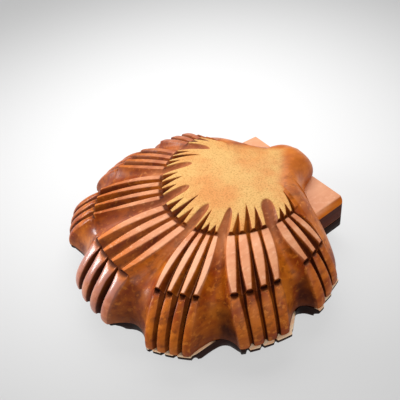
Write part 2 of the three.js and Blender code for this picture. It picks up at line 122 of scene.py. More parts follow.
# Each rib: bearing of its middle and pitch of its fingers at the inner radius, the first ledge,
# the second ledge and the rim; reach of its first and last finger; where its notches start.
MIDDLE, PITCH, REACH, NOTCHES = 0, 1, 2, 3
RIBS = [
    ((-104, -90.1, -88.5, -90), (6.5, 5.6, 6.3, 5.9), (111, 113.8), (43, 48, 53)),
    ((-76, -62.3, -62, -62.3), (7.5, 6.0, 5.0, 4.7), (124.5, 122.5), (49, 36, 50)),
    ((-40, -33.4, -30.8, -33.6), (8.6, 6.9, 4.8, 3.9), (126, 122.5), (47, 42, 47)),
    ((0, 0, 0, 0.6), (9.0, 8.3, 6.2, 5.7), (120.4, 120.4), (46, 35, 46)),
    ((33.5, 30.3, 31.2, 31.8), (5.8, 5.5, 4.6, 3.7), (121.7, 121.7), (41, 53, 54)),
    ((64.5, 60.8, 60.2, 61), (8.8, 7.9, 5.7, 4.5), (118, 117), (42, 35, 40)),
    ((102, 90.1, 90.9, 90.3), (7.0, 5.6, 6.1, 5.9), (114.4, 110.5), (51, 51, 42)),
]
FIRST = 0
LAST = len(RIBS) - 1

# The right side's outline behind the fan, from the shoulder round the beak to its tip.
SHOULDER = [(98.5, 41.5), (93, 47.5), (85.5, 52.5), (74, 57.5), (60.5, 60.5)]
BEAK_FOOT = [
    (51, 59.5), (42, 62.5), (35.5, 66.5), (30, 72.5), (26, 80.5), (21.5, 88.5), (13.5, 94.2), (0, 96),
]
SMOOTH_START_BEARING = 119
BEAK_SINK = 1.5

# Ears: one block across the back. Its side's painted shade changes at the marks, heights at which it is cut.
EAR_FRONT_HALF = 59.5
EAR_BACK_HALF = 57.5
EAR_FRONT = 54
EAR_BACK = (86.5, 90)
EAR_TOP = 20
EAR_CHAMFER = 4.2
EAR_CORNER = 3.5
EAR_EDGE = 0.5
EAR_MARKS = (14.9, 15.4, 0.9, 0.5)
TRAY_EAR_HEIGHT = 10

# Along the rim: place (rib, and three tenths each way for its fingers), how far the tray stands
# proud of the lid, how much of its side is upright, and how pale its ledge is: cream painted highlight
# where it is lit, near-black painted shade where it is not.
TRAY_EDGE = [
    (0, -0.8, 0, 0.3), (2.6, -0.8, 0, 0), (2.7, -2.2, 0, 0), (3.28, -2.2, 0.2, 0),
    (3.38, -0.8, 0.9, 0), (3.62, -0.8, 0.9, 0), (3.7, -0.5, 0.3, 0), (3.8, 0.3, 0, 1),
    (4.28, 0.3, 0.3, 1), (4.34, 1.1, 1, 1), (4.43, 0.8, 1, 1), (4.46, -0.3, 1, 0),
    (4.6, -0.7, 0.8, 0), (4.83, -0.3, 0.8, 0), (4.87, 1.6, 0.2, 1), (5.3, 1.8, 0, 1),
    (5.4, 1.2, 0.1, 1), (5.44, 0, 0.7, 0), (5.55, -0.4, 1, 0), (5.68, -0.3, 1, 0),
    (5.72, 1.4, 0.4, 1), (5.85, 1.2, 0.1, 1), (5.9, 0.5, 0, 1), (7, 0.5, 0, 1),
]
# The tray's ribs are turned outwards and its grooves towards their middle, in degrees.
TRAY_WIDENING = (0, 0, 0, 0, 0.5, 1.0, 0)
TRAY_GROOVE_TURN = 1.4
TRAY_GROOVE_RECESS = 1.9
TRAY_EASING = 5

# The tray's side: depth below its rim and share of the undercut. Where it is upright, the undercut
# comes in between the depths of TRAY_SIDE.
TRAY_PROFILE = (
    (21.1, 1), (19.5, 0.87), (17, 0.735), (14.5, 0.6), (12, 0.472), (10, 0.372), (8, 0.27), (6.4, 0.16),
    (5.2, 0.08), (4.2, 0.03), (3, 0.005), (1.6, 0), (0.8, 0), (0.5, 0), (0.3, 0), (0, 0.012),
)
TRAY_SIDE = (9, 16)
TRAY_UNDERCUT = 21
TRAY_FLOOR = 6
TRAY_MIDDLE = 5

# The inside of both halves, the lid's ceiling, and the tray's lip that keeps the lid in place.
HOLLOW_RADIUS = 94
HOLLOW_BACK = 47
HOLLOW_CORNER = 0.18
LID_HOLLOW_HEIGHT = 31
LID_HOLLOW_CROWN = 7
LID_CROWN_RADIUS = 55
LID_INSIDE = (1, 0.995, 0.985, 0.965, 0.94, 0.9, 0.85, 0.78, 0.7, 0.6, 0.48, 0.35, 0.2, 0.08)
LIP_WIDTH = 3
LIP_HEIGHT = 3
LIP_ROUND = 0.5
LIP_CLEARANCE = 1.2
# Down the tray's inside: share of the hollow's radius and height above the floor.
TRAY_INSIDE = (
    (1, 10), (1, 6), (0.995, 4), (0.98, 2.2), (0.96, 1), (0.93, 0.3), (0.9, 0), (0.7, 0), (0.4, 0), (0.15, 0),
)
INSIDE_STAIN = 0.3


def lerp(a, b, t):
    return a + (b - a) * t


def clamp01(t):
    return min(1.0, max(0.0, t))


def smooth(low, high, value):
    """0 below low, 1 above high, eased between."""
    t = clamp01((value - low) / (high - low))
    return t * t * (3 - 2 * t)


def from_fan(bearing, radius):
    """Plan point at a bearing and a radius from the fan's centre."""
    turn = math.radians(bearing)
    return radius * math.sin(turn), FAN_Y - radius * math.cos(turn)


def bearing_of(x, y):
    return math.degrees(math.atan2(x, FAN_Y - y))


def fan_radius(bearing, circle):
    """Radius from the fan's centre at which a bearing meets a circle about the plan's origin."""
    turn = math.radians(bearing)
    across = FAN_Y * math.sin(turn)
    return FAN_Y * math.cos(turn) + math.sqrt(circle ** 2 - across ** 2)


def sideways(bearing):
    """0 at the front of the fan, 1 at its sides."""
    return (1 - math.cos(min(1, abs(bearing) / SIDE_BEARING) * math.pi)) / 2


def ledge_top(bearing):
    behind = LEFT_BACK_FALL * smooth(LEFT_BACK[0], LEFT_BACK[1], -bearing)
    return LEDGE_TOP + LEDGE_TOP_RISE * sideways(bearing) - behind


def long_end_top(bearing):
    return LONG_END_TOP - LONG_END_FALL * sideways(bearing)


def cap_height(bearing, radius):
    return CROWN - (CROWN - ledge_top(bearing)) * (radius / LEDGE_RADIUS) ** 2


def to_frame(x, y, z):
    """Plan millimetres to the frame's metres."""
    return Vector((x + PLAN_SHIFT[0], y + PLAN_SHIFT[1], z + TRAY_HEIGHT + PARTING_GAP)) * MM


# ---------------------------------------------------------------- strands of the fan
# The fan has three tiers: the cap, the long fingers and the skirt. A groove's width turns into
# an angle at these radii, from the start of each tier to its end.
CAP, LONG, SKIRT = 0, 1, 2
TIER_RADII = ((INNER_RADIUS, LEDGE_RADIUS), (61, 113), (113, 137))

# Where strands lie: across a finger's back, a groove and a valley, and in the two half grooves
# at the ends of the fan.
BACK_PLACES = (0, 0.06, 0.14, 0.3, 0.5, 0.7, 0.86, 0.94, 1)
GROOVE_PLACES = (0.05, 0.16, 0.32, 0.42, 0.5, 0.58, 0.68, 0.84, 0.95)
VALLEY_PLACES = [(k + 1) / 16 for k in range(15)]
START_PLACES = (0, 0.34, 0.68, 0.9)
END_PLACES = (0.1, 0.32, 0.66, 1)
BACK_EDGE = 0.8


def finger_count(rib):
    return 3 if rib in (FIRST, LAST) else 4


def notch_opening(radius, start):
    """0 where a notch starts in the cap, 1 at the first ledge."""
    return clamp01((radius - start) / (LEDGE_RADIUS - start))


def groove_half(rib, tier, t, notch):
    """Half the width of a groove."""
    if tier == CAP:
        opening = notch_opening(lerp(INNER_RADIUS, LEDGE_RADIUS, t), notch)
        if notch == VALLEY_NOTCH:
            opening = opening ** VALLEY_NOTCH_OPENING
        widest = NOTCH_SHARE * math.radians(RIBS[rib][PITCH][1]) * LEDGE_RADIUS
        return NOTCH_POINT + min(NOTCH_HALF, widest - NOTCH_POINT) * opening
    if tier == LONG:
        start, end = LONG_GROOVE_HALF[rib]
        return lerp(start, end, t ** LONG_GROOVE_OPENING[rib]) - LONG_BELLY[rib] * 4 * t * (1 - t)
    return lerp(SKIRT_GROOVE_START[rib], SKIRT_GROOVE_HALF[rib], smooth(0, 0.45, t))


def edge_bearing(edge, tier, t):
    """Bearing of a finger's edge. An edge is its rib, its finger's place from the rib's middle in
    fingers, its side (-1 left, 1 right, 0 the line between two fingers) and where its notch starts."""
    rib, offset, side, notch = edge
    middle, pitch = RIBS[rib][MIDDLE], RIBS[rib][PITCH]
    out = max(0, t)
    bearing = lerp(middle[tier] + offset * pitch[tier], middle[tier + 1] + offset * pitch[tier + 1], out)
    if tier == LONG:
        bearing += LONG_BOW[rib] * offset * 4 * out * (1 - out)
        if rib == LAST and offset < 0 and side < 0:
            bearing -= LAST_BELLY * smooth(1, 0.35, out)
    if side == 0:
        return bearing
    width = lerp(pitch[tier], pitch[tier + 1], out)
    radius = lerp(TIER_RADII[tier][0], TIER_RADII[tier][1], out)
    return bearing + side * (width / 2 - math.degrees(groove_half(rib, tier, t, notch) / radius))


class Strand:
    """One line from the crown down to the rim, at a place from its left edge to its right one: on a
    finger's back, in a groove or in a valley. Its hollow is 0 at the edges and 1 at the bottom."""

    def __init__(self, kind, left, right, place, reach, hollow=0.0):
        self.kind = kind
        self.left = left
        self.right = right
        self.place = place
        self.reach = reach
        self.hollow = hollow
        self.rib = left[0]
        self.notch = left[3]
        off_middle = abs(2 * place - 1) if kind == "back" else 1
        self.off_middle = off_middle
        self.edge = max(0.0, (off_middle - BACK_EDGE) / (1 - BACK_EDGE)) ** 2
        self.round = math.sqrt(max(0.0, 1 - off_middle ** 2))
        self.long_end = self.bearing(LONG, 1)
        self.long_radius = fan_radius(self.long_end, LONG_END_RADIUS)
        self.start_top = ledge_top(self.bearing(LONG, 0)) - STEP
        self.end_top = long_end_top(self.long_end)
        self.skirt_top = self.end_top - STEP
        self.skirt_start = self.long_radius + SKIRT_STEP_RUN
        self.scoop = SCOOP[self.rib] * self.round
        self.run = STEP_RUN[self.rib]
        if kind == "valley":
            self.run = lerp(self.run, STEP_RUN[self.rib + 1], place)

    def bearing(self, tier, t):
        return lerp(edge_bearing(self.left, tier, t), edge_bearing(self.right, tier, t), self.place)


def groove_hollow(place):
    return 1 - abs(2 * place - 1) ** 1.25


def groove_highlight_line(place):
    """1 along the bottom of a groove, where its painted highlight lies, 0 on its walls."""
    return 1 - smooth(0, 0.075, abs(place - 0.5))


def groove_shading(place, left_wall):
    """Painted shade across a groove: its left wall, a painted highlight along the bottom and a darker right
    wall.
    """
    wall = lerp(left_wall, 0.98, smooth(0.45, 0.6, place))
    return wall - 0.6 * (1.15 - left_wall) * groove_highlight_line(place)


def reach_at(rib, offset):
    half = (finger_count(rib) - 1) / 2
    reach = RIBS[rib][REACH]
    return lerp(reach[0], reach[1], clamp01((offset + half) / (2 * half)))


def between(before, left, before_reach, reach, valley):
    """Strands from one finger's right edge to the next one's left edge."""
    strands = []
    for place in VALLEY_PLACES if valley else GROOVE_PLACES:
        hollow = math.sin(place * math.pi) ** 0.8 if valley else groove_hollow(place)
        far = lerp(before_reach, reach, place)
        strands.append(Strand("valley" if valley else "groove", before, left, place, far, hollow))
    return strands


def fan_strands():
    """All strands of the ribbed fan, left to right."""
    strands = []
    before = None
    before_reach = 0
    for rib in range(len(RIBS)):
        count = finger_count(rib)
        notches = list(RIBS[rib][NOTCHES])
        notch = notches.pop(0) if rib == FIRST else VALLEY_NOTCH
        for i in range(count):
            offset = i - (count - 1) / 2
            after = notches.pop(0) if notches else VALLEY_NOTCH
            left = (rib, offset, -1, notch)
            right = (rib, offset, 1, after)
            reach = reach_at(rib, offset)
            if before is None:
                line = (rib, offset - 0.5, 0, notch)
                for place in START_PLACES:
                    hollow = groove_hollow(0.5 + place / 2)
                    strands.append(Strand("groove", line, left, place, reach, hollow))
            else:
                strands += between(before, left, before_reach, reach, i == 0)
            for place in BACK_PLACES:
                strands.append(Strand("back", left, right, place, reach))
            before = right
            before_reach = reach
            notch = after
    line = (LAST, finger_count(LAST) / 2, 0, notch)
    for place in END_PLACES:
        strands.append(Strand("groove", before, line, place, before_reach, groove_hollow(place / 2)))
    return strands


# ---------------------------------------------------------------- rows from crown to rim
# Where rows lie: radii in the cap, and shares of the way along the long tier and the skirt.
CAP_RADII = [4 * k for k in range(1, 9)] + [34 + k for k in range(26)] + [59.6]
LONG_STEPS = [0.01, 0.03] + [0.03 + 0.95 * k / 26 for k in range(1, 27)] + [0.992]
SKIRT_HEAD = [0.012, 0.03, 0.055, 0.085, 0.12, 0.155]
SKIRT_STEPS = SKIRT_HEAD + [1 - 0.845 * (1 - k / 28) ** 1.5 for k in range(1, 29)]
# Down the second step: how far in, share of the drop, and painted shadow.
SECOND_RISER = ((0, 0.1, 0.3), (0.35, 0.5, 1), (0.6, 1, 1))
# The rim's upright edge, in shares of its height.
RIM_ROWS = (0.75, 0.5, 0.25, 0)
SETTLE_TURNS = 26
SETTLE_SHARE = 0.8
SETTLE_MARGIN = 6


def row_at(bearing, radius, z, dark, gold, top):
    """A point with its marks: how dark (painted shade, on the outside), how gold, and how pale (painted
    highlight).
    """
    x, y = from_fan(bearing, radius)
    return [x, y, z, dark, gold, top]


def cap_rows(line):
    """From the crown to the first ledge."""
    rows = []
    in_valley = line.kind == "valley"
    for radius in CAP_RADII:
        t = (radius - INNER_RADIUS) / (LEDGE_RADIUS - INNER_RADIUS)
        if in_valley:
            late = VALLEY_NOTCH + 3.5 * (2 * line.place - 1) ** 2
            deep = line.hollow * VALLEY_DEPTH[0] * notch_opening(radius, late) ** 0.6
        elif line.kind == "groove":
            deep = line.hollow * NOTCH_DEPTH * notch_opening(radius, line.notch)
        else:
            deep = 0.2 * max(0, t) * line.edge
        # Notches and valleys in the cap take painted shade, the deeper the darker, and lose the crown's gold.
        cut = smooth(0.12, 0.5, deep)
        dark = cut * (0.3 if in_valley else 0.5 + 0.35 * smooth(1, 3, deep))
        bearing = line.bearing(CAP, t)
        z = cap_height(bearing, radius) - deep
        rows.append(row_at(bearing, radius, z, dark, 1 - cut, VALLEY_HIGHLIGHT if in_valley else 0))
    return rows


def first_step(line, top):
    """Down the first ledge's face, under its thin edge, and out to the long finger's head."""
    ledge = line.bearing(CAP, 1)
    in_valley = line.kind == "valley"
    foot = line.start_top - line.hollow * (VALLEY_DEPTH[0] - STEP if in_valley else LONG_GROOVE_DEPTH[0])
    # The last number of each riser row darkens the ledge's face and the wood under its edge: painted shadow.
    riser = ((0.1, 0.12, 0.5), (0.35, 0.55, 0.75), (0.4, 1.06, 0.8), (-0.3, 1.1, 0.75),
             (0.15 - line.run, 1.12, 0.8))
    rows = []
    for back, drop, dark in riser:
        z = lerp(top, foot, lerp(drop, 0.5, line.hollow))
        radius = LEDGE_RADIUS - back * (1 - line.hollow)
        if in_valley:
            rows.append(row_at(ledge, radius, z, lerp(dark, 0.3, line.hollow), 0, VALLEY_HIGHLIGHT))
        else:
            rows.append(row_at(ledge, radius, z, dark, 0, 0))
    return rows


def long_cut(line, t):
    """Depth of a strand below the long fingers' tops, its painted shade and its painted highlight."""
    if line.kind == "valley":
        deep = line.hollow * lerp(VALLEY_DEPTH[0] - STEP, VALLEY_DEPTH[1], t)
        return deep, 0.12 + 0.18 * (1 - smooth(0, 0.4, t)), VALLEY_HIGHLIGHT * (1 - smooth(0.1, 0.7, t))
    if line.kind == "groove":
        deep = line.hollow * lerp(LONG_GROOVE_DEPTH[0], LONG_GROOVE_DEPTH[1], t ** 0.9)
        # A groove's walls take painted shade, with a painted highlight along its bottom.
        stain = groove_shading(line.place, LONG_LEFT_WALL[line.rib])
        pale = LONG_LINE[line.rib] * groove_highlight_line(line.place) * smooth(0.05, 0.2, t)
        return deep, lerp(0.3, stain, smooth(0.3, 2.5, deep)), pale
    # A finger's back: painted highlight on its top, painted shade at its edges and at its head.
    start, end = LONG_HIGHLIGHT[line.rib]
    highlight = lerp(start, end, smooth(0.25, 1, t))
    dark = 0.2 * line.edge + 0.5 * (1 - smooth(0, 0.03, t))
    return EDGE_ROUND * line.edge, dark, highlight * (1 - line.edge * 0.6)


def long_rows(line):
    rows = []
    for t in LONG_STEPS:
        deep, dark, top = long_cut(line, t)
        arch = LONG_ARCH * 4 * t * (1 - t)
        radius = lerp(LEDGE_RADIUS + line.run, line.long_radius, t)
        z = lerp(line.start_top, line.end_top, t) + arch - deep
        rows.append(row_at(line.bearing(LONG, t), radius, z, dark, 0, top))
    return rows


def second_step(line, top):
    """Down from the long finger's end to the head of the skirt's finger."""
    in_valley = line.kind == "valley"
    deep = (VALLEY_DEPTH[1] - STEP + VALLEY_SINK) if in_valley else SKIRT_GROOVE_DEPTH[line.rib]
    foot = line.skirt_top - line.hollow * deep - line.scoop
    skirt = line.bearing(SKIRT, 0)
    rows = []
    for back, drop, dark in SECOND_RISER:
        bearing = lerp(line.long_end, skirt, drop)
        radius = line.long_radius - back * (1 - line.hollow)
        z = lerp(top, foot, lerp(drop, 0.5, line.hollow))
        rows.append(row_at(bearing, radius, z, dark * (0.2 if in_valley else 1), 0, 0))
    return rows


def finger_profile(start, end, top, s, sunk):
    """A finger's back in the skirt, as radius and height, sunk into the wood along its normal."""
    fall = (top - RIM_EDGE) * max(0, 1 - s) ** SKIRT_POWER
    slope = (top - RIM_EDGE) * SKIRT_POWER * max(1e-4, 1 - s) ** (SKIRT_POWER - 1)
    length = math.hypot(slope, end - start)
    radius = lerp(start, end, s) - sunk * slope / length
    return radius, max(RIM_EDGE, RIM_EDGE + fall - sunk * (end - start) / length)


def valley_in_skirt(line, s, bearing, rim_end):
    edge_sunk = lerp(SKIRT_ROUND[line.rib], SKIRT_ROUND[line.rib + 1], line.place)
    high = finger_profile(line.skirt_start, rim_end, line.skirt_top, s, edge_sunk)
    low_end = fan_radius(bearing, line.reach - VALLEY_RECESS)
    low_top = line.end_top - VALLEY_DEPTH[1]
    low_z = RIM_EDGE + (low_top - RIM_EDGE) * max(0, 1 - s) ** 0.6
    radius = lerp(high[0], lerp(line.skirt_start, low_end, s), line.hollow)
    z = lerp(high[1], low_z, line.hollow)
    # Painted shade: darker towards the rim, over the whole valley and on its far side.
    all_over, far_side = VALLEY_SHADE[line.rib]
    far = smooth(0.45, 0.7, line.place) * (1 - smooth(0.92, 1, line.place)) * smooth(0.1, 0.45, s)
    dark = 0.12 + 0.33 * smooth(0.55, 1, s) + all_over * line.hollow + far_side * far
    return radius, z, min(0.9, dark), 0


def groove_in_skirt(line, s, rim_end):
    sunk = lerp(SKIRT_ROUND[line.rib], SKIRT_GROOVE_DEPTH[line.rib], line.hollow)
    radius, z = finger_profile(line.skirt_start, rim_end, line.skirt_top, s, sunk)
    # A groove's walls take painted shade, with a painted highlight along its bottom.
    stain = groove_shading(line.place, SKIRT_LEFT_WALL[line.rib])
    return radius, z, lerp(0.2, stain, smooth(0.02, 0.15, line.hollow)), 0


def back_in_skirt(line, s, rim_end):
    """A finger's back, worn hollow at its head, with a rounded painted shadow under the step above; it is
    darker at its edges and towards the rim, and carries painted highlight that fades towards the rim.
    """
    dip = line.scoop * (1 - smooth(0, SCOOP_RUN, s))
    sunk = SKIRT_ROUND[line.rib] * line.off_middle ** 2.6 + dip
    radius, z = finger_profile(line.skirt_start, rim_end, line.skirt_top, s, sunk)
    mark = 0.13 * line.round
    step_shadow = 0.9 * (1 - smooth(0.2 * mark, mark + 0.005, s))
    dark = max(step_shadow, 0.25 * line.edge) + 0.15 * smooth(0.7, 1, s)
    return radius, z, dark, SKIRT_HIGHLIGHT[line.rib] * (1 - 0.5 * smooth(0.3, 0.9, s))


def skirt_rows(line):
    rows = []
    for s in SKIRT_STEPS:
        bearing = line.bearing(SKIRT, s)
        rim_end = fan_radius(bearing, line.reach)
        if line.kind == "valley":
            radius, z, dark, top = valley_in_skirt(line, s, bearing, rim_end)
        elif line.kind == "groove":
            radius, z, dark, top = groove_in_skirt(line, s, rim_end)
        else:
            radius, z, dark, top = back_in_skirt(line, s, rim_end)
        rows.append(row_at(bearing, radius, z, dark, 0, top))
    return rows


def settle(rows, hollow):
    """Ease the ledges out of a valley's floor."""
    first = len(CAP_RADII) - SETTLE_MARGIN
    last = len(rows) - SETTLE_MARGIN
    for _ in range(SETTLE_TURNS):
        before = [row[:3] for row in rows]
        for k in range(first, last):
            for axis in range(3):
                mean = (before[k - 1][axis] + before[k + 1][axis]) / 2
                rows[k][axis] = lerp(before[k][axis], mean, SETTLE_SHARE * min(1, 1.5 * hollow))


def strand_rows(line):
    """Points of a strand from the crown to the parting plane."""
    rows = cap_rows(line)
    rows += first_step(line, rows[-1][2])
    rows += long_rows(line)
    rows += second_step(line, rows[-1][2])
    rows += skirt_rows(line)
    if line.kind == "valley":
        settle(rows, line.hollow)
    end = rows[-1]
    for share in RIM_ROWS:
        rows.append([end[0], end[1], RIM_EDGE * share, end[3], 0, 0])
    return rows


# ---------------------------------------------------------------- shoulder and beak
# A place on the side outline is a fractional index: 0 where the shoulder leaves the fan, and
# LAST_SMOOTH at the beak's tip. The beak, its high flank and its tip take over between these places.
LAST_SMOOTH = len(SHOULDER) + len(BEAK_FOOT) - 1
SMOOTH_PLACES = [k * 0.3 for k in range(int(LAST_SMOOTH / 0.3) + 1)]
BEAK_STARTS = (3, 6.5)
FLANK_STARTS = (5, 8)
TIP_STARTS = 9
# How far the crown has fallen at the inner radius: by the fan, along the flank and at the tip.
RIGHT_FALL = (1.4, 2.4, 3.0)
LEFT_FALL = (2.9, 4.9, 3.4)
FLANK_ROUND = 27
TIP_ROUND = 23
FLANK_FOOT = 24
OVERHANG = 3.4
OVERHANG_ROWS = ((0.35, 0.12), (0.7, 0.5), (1, 1))
GOLD_EDGE = (68, 82)
WALL_PLACES = (0.08, 0.18, 0.3, 0.45, 0.6, 0.8)


def outline_point(index):
    """Point of the side outline at a place, on a smooth curve through its corners."""
    points = SHOULDER + BEAK_FOOT
    points = points + [(-x, y) for x, y in reversed(points[:-1])]
    k = min(int(index), len(points) - 2)
    t = index - k
    corners = points[max(k - 1, 0)], points[k], points[k + 1], points[min(k + 2, len(points) - 1)]
    out = []
    for a, b, c, d in zip(*corners):
        bend = (2 * a - 5 * b + 4 * c - d) * t + (3 * b - a - 3 * c + d) * t * t
        out.append(b + 0.5 * t * (c - a + bend))
    return tuple(out)


def smooth_rows(index, side, shares):
    """Points of a plain strand at a place of the side outline, on the right (1) or left (-1)."""
    target = outline_point(index)
    bearing = lerp(SMOOTH_START_BEARING, 180, index / LAST_SMOOTH)
    beak = smooth(BEAK_STARTS[0], BEAK_STARTS[1], index)
    on_flank = smooth(FLANK_STARTS[0], FLANK_STARTS[1], index)
    tip = smooth(TIP_STARTS, LAST_SMOOTH, index)
    on_ear = smooth(len(SHOULDER) - 1, len(SHOULDER), index)
    foot = lerp(RIM_EDGE, EAR_TOP - BEAK_SINK, on_ear)
    flank_foot = lerp(foot, FLANK_FOOT, on_flank)
    start = from_fan(bearing, INNER_RADIUS)
    falls = RIGHT_FALL if side > 0 else LEFT_FALL
    fall = lerp(lerp(falls[0], falls[1], smooth(0, 4, index)), falls[2], tip)
    length = math.hypot(start[0] - target[0], start[1] - target[1])
    round_run = min(length * 0.98, lerp(FLANK_ROUND, TIP_ROUND, tip))
    left = (1 - side) / 2
    rows = []

    def put(x, y, z, high):
        # Darker towards the foot and under the overhang, paler towards the top: painted shade and highlight.
        gold = 1 - smooth(GOLD_EDGE[0], GOLD_EDGE[1], abs(x) + y)
        rows.append([side * x, y, z, 0.2 * (1 - smooth(0.1, 0.4, high)), gold, 0.2 * smooth(0.2, 0.7, high)])

    for share in shares:
        if share <= 0:
            radius = INNER_RADIUS * (1 + share)
            x, y = from_fan(bearing, radius)
            put(x, y, CROWN - fall * (radius / INNER_RADIUS) ** 2, 1)
            continue
        x = lerp(start[0], target[0], share)
        y = lerp(start[1], target[1], share)
        radius = math.hypot(x, y - FAN_Y)
        domed = CROWN - fall * (radius / INNER_RADIUS) ** 2
        inward = clamp01((1 - share) * length / round_run)
        sharp = lerp(3, 1.7, left * (1 - tip))
        flank = (1 - (1 - inward) ** sharp) ** lerp(0.6, 0.75, left * (1 - tip))
        rounded = max(0.0, 1 - share ** 1.7) ** lerp(0.72, 0.82, left)
        shoulder = foot + (CROWN - fall - foot) * rounded
        z = lerp(shoulder, flank_foot + (domed - flank_foot) * flank, beak)
        put(x, y, z, lerp(rounded, flank, beak))
    under = OVERHANG * on_flank * lerp(1, 0.5, tip)
    for drop, back in OVERHANG_ROWS:
        toward = under * back / math.hypot(target[0], target[1] - FAN_Y)
        x = lerp(target[0], 0, toward)
        y = lerp(target[1], FAN_Y, toward)
        put(x, y, lerp(flank_foot, foot, drop), 0.1)
    end = rows[-1]
    rows.append([end[0], end[1], 0, end[3], 0, 0])
    return rows


def row_shares(rows):
    """How far out each row of a strand lies: -1 at the crown, 0 at the inner radius, 1 at the rim."""
    far = math.hypot(rows[-1][0], rows[-1][1] - FAN_Y)
    shares = []
    for row in rows[:-4]:
        radius = math.hypot(row[0], row[1] - FAN_Y)
        if radius <= INNER_RADIUS:
            shares.append(radius / INNER_RADIUS - 1)
        else:
            shares.append(min(1.0, (radius - INNER_RADIUS) / (far - INNER_RADIUS)))
    for k in range(1, len(shares)):
        shares[k] = max(shares[k], shares[k - 1] + 1e-4)
    shares[-1] = 1.0
    return shares


def groove_to_shoulder(groove, plain, back):
    """Strands that climb from the outermost groove to the smooth shoulder."""
    strands = []
    for place in WALL_PLACES:
        rows = []
        for low, high, top in zip(groove, plain, back):
            x = lerp(low[0], high[0], place)
            y = lerp(low[1], high[1], place)
            span = math.hypot(high[0] - low[0], high[1] - low[1])
            depth = max(0.0, top[2] - low[2])
            wall = max(0.3, 0.6 * depth)
            sunk = max(0.0, 1 - place * span / wall)
            upper = lerp(top[2], high[2], smooth(0, 1, place))
            z = max(upper - depth * sunk, min(low[2], high[2]))
            dark = lerp(high[3], low[3], sunk)
            gold = lerp(low[4], high[4], smooth(0, 1, place)) if depth < 0.2 else 0
            rows.append([x, y, z, dark, gold, 0])
        strands.append(rows)
    return strands


def lid_strands():
    """Every strand of the lid's outside, anticlockwise."""
    fan = [strand_rows(line) for line in fan_strands()]
    last_back = fan[-len(END_PLACES) - 1]
    first_back = fan[len(START_PLACES)]
    right_shares = row_shares(last_back)
    left_shares = row_shares(first_back)
    right = [smooth_rows(place, 1, right_shares) for place in SMOOTH_PLACES]
    left = [smooth_rows(place, -1, left_shares) for place in SMOOTH_PLACES[:-1]]
    right_wall = groove_to_shoulder(fan[-1], right[0], last_back)
    left_wall = groove_to_shoulder(fan[0], left[0], first_back)
    left_wall.reverse()
    left.reverse()
    return fan + right_wall + right + left + left_wall


# ---------------------------------------------------------------- the hollow inside
def hollow_radius(bearing, inset):
    """Radius of the hollow from the fan's centre: round in front, straight behind."""
    side = fan_radius(bearing, HOLLOW_RADIUS - inset)
    backwards = -math.cos(math.radians(bearing))
    if backwards <= 0.02:
        return side
    back = (HOLLOW_BACK - inset - FAN_Y) / backwards
    power = 1 / HOLLOW_CORNER
    return (side ** -power + back ** -power) ** (-1 / power)


def dome(share, radius):
    """Height of the lid's ceiling."""
    middle = max(0.0, 1 - (radius / LID_CROWN_RADIUS) ** 2)
    side = max(0.0, 1 - share ** 4)
    return LID_HOLLOW_CROWN * middle ** 2 + LID_HOLLOW_HEIGHT * math.sqrt(side)


def lid_inside(end):
    """Rows from a rim point across the rim's underside and up over the ceiling."""
    bearing = bearing_of(end[0], end[1])
    wall = hollow_radius(bearing, 0)
    rows = []
    for place in (0.03, 0.5, 0.97):
        x, y = from_fan(bearing, wall)
        rows.append([lerp(end[0], x, place), lerp(end[1], y, place), 0, INSIDE_STAIN, 0, 0])
    for share in LID_INSIDE:
        radius = share * wall
        rows.append(row_at(bearing, radius, dome(share, radius), INSIDE_STAIN, 0, 0))
    return rows


# ---------------------------------------------------------------- meshes
SHARP_ANGLE = 38
EAR_SHARP_ANGLE = 20


def wrap_grid(strands):
    """A closed skin through strands of equal length that start and end at a pole."""
    bm = bmesh.new()
    carved = bm.verts.layers.float_color.new("carved")
    columns = len(strands)
    rows = len(strands[0])
    bmesh.ops.create_grid(bm, x_segments=columns, y_segments=rows - 1, size=0.5)
    for vert in bm.verts:
        column = round((vert.co.x + 0.5) * columns) % columns
        row = round((vert.co.y + 0.5) * (rows - 1))
        x, y, z, dark, gold, top = strands[column][row]
        vert.co = to_frame(x, y, z)
        vert[carved] = (dark, gold, top, 1)
    bmesh.ops.remove_doubles(bm, verts=bm.verts, dist=2e-7)
    bmesh.ops.recalc_face_normals(bm, faces=bm.faces)
    return bm


def span(edge, axis):
    """How far an edge reaches along an axis."""
    return abs(edge.verts[0].co[axis] - edge.verts[1].co[axis])


def round_edges(bm, edges, width, segments):
    bmesh.ops.bevel(bm, geom=edges, offset=width * MM, segments=segments, profile=0.5,
                    affect="EDGES", material=-1)


def ear_block(top, bottom, chamfer, marks, stain):
    """The two ears with the bar between them, as one block with worked edges."""
    bm = bmesh.new()
    carved = bm.verts.layers.float_color.new("carved")
    bmesh.ops.create_cube(bm, size=1)
    for vert in bm.verts:
        side = 1 if vert.co.x > 0 else -1
        behind = vert.co.y > 0
        half = EAR_BACK_HALF if behind else EAR_FRONT_HALF
        y = EAR_BACK[1 if side > 0 else 0] if behind else EAR_FRONT
        vert.co = to_frame(side * half, y, top if vert.co.z > 0 else bottom)
    if chamfer > 0:
        high = max(v.co.z for v in bm.verts)
        rim = [e for e in bm.edges if all(abs(v.co.z - high) < 1e-6 for v in e.verts)]
        round_edges(bm, [e for e in rim if span(e, 0) < 0.01], chamfer, 1)
    back = (EAR_BACK[0] + PLAN_SHIFT[1] - 4) * MM
    upright = [e for e in bm.edges
               if span(e, 2) > 0.004 and span(e, 0) < 0.001 and min(v.co.y for v in e.verts) > back]
    round_edges(bm, upright, EAR_CORNER, 5)
    bmesh.ops.recalc_face_normals(bm, faces=bm.faces)
    sharp = [e for e in bm.edges if e.calc_face_angle(0) > math.radians(EAR_SHARP_ANGLE)]
    round_edges(bm, sharp, EAR_EDGE, 2)
    for mark in marks:
        bmesh.ops.bisect_plane(bm, geom=bm.verts[:] + bm.edges[:] + bm.faces[:], dist=1e-7,
                               plane_co=to_frame(0, 0, mark), plane_no=(0, 0, 1))
    for vert in bm.verts:
        vert[carved] = stain(vert.co.z / MM - TRAY_HEIGHT - PARTING_GAP)
    return bm


